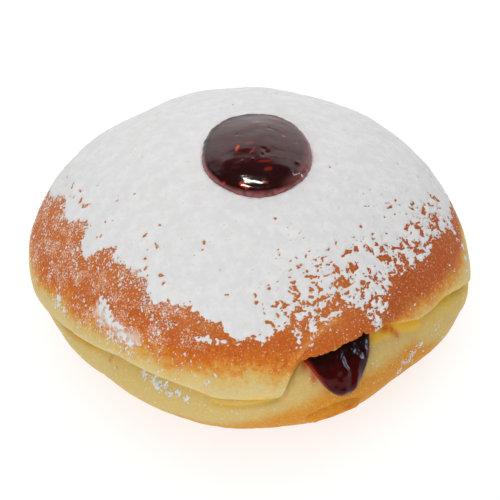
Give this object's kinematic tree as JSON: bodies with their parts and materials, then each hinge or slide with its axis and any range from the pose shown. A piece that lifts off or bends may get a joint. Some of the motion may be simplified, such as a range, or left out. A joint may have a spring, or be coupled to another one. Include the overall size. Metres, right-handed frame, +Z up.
{
  "type": "jam doughnut",
  "caption": "Round fried jam doughnut with icing sugar on its crown, a dab of glossy jam on top and jam showing in an open slit in its side.",
  "frame": {"origin": "middle of the bounding box, on the flat underside that the doughnut rests on", "axes": "+Z up, -Y towards the picture's camera, with the slit in the side between -Y and +X"},
  "size_m": [0.095, 0.0953, 0.0529],
  "materials": {
    "crust": "fried dough, golden brown above and below a pale yellow band, with a soft satin skin",
    "jam": "wet, glossy dark red jam",
    "jam_inside": "wet, glossy, nearly black red jam",
    "sugar": "matt icing sugar"
  },
  "bodies": {
    "root": {"dough": "crust", "jam_filling": "jam_inside", "jam_topping": "jam"}
  },
  "joints": []
}
